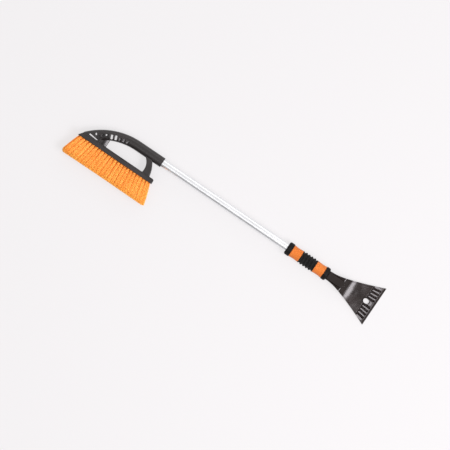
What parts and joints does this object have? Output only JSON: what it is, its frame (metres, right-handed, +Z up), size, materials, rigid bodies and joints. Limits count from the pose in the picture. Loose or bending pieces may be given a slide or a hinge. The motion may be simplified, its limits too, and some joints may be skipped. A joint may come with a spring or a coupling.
{
  "type": "windshield ice scraper and snow brush",
  "caption": "Long-handled snow brush with a D-shaped handle over its bristles, a round tube shaft, a banded grip and a flared ice scraper at the other end.",
  "frame": {"origin": "middle of the footprint, on the surface that the tool lies on", "axes": "+X along the shaft towards the scraper, -Y the way the bristles point, +Z up off the surface, through the scraper's upper face"},
  "size_m": [0.8944, 0.1766, 0.0355],
  "materials": {
    "block": "satin moulded polypropylene",
    "bristle": "drawn filament, slightly shiny",
    "tube": "drawn tube, satin, clear anodised",
    "collar": "fine textured",
    "orange_foam": "closed-cell foam, matte",
    "black_foam": "closed-cell foam, matte",
    "blade": "glossy moulded plastic",
    "steel": "zinc plated"
  },
  "bodies": {
    "root": {"brush_block": "block", "tufts_row_1": "bristle", "tufts_row_2": "bristle", "tufts_row_3": "bristle", "tufts_row_4": "bristle", "tuft_staples": "steel", "socket_screw": "steel", "shaft_tube": "tube", "front_collar": "collar", "front_band": "orange_foam", "ribbed_sleeve": "black_foam", "rear_band": "orange_foam", "rear_collar": "collar", "scraper": "blade", "scraper_screw": "steel"}
  },
  "joints": []
}
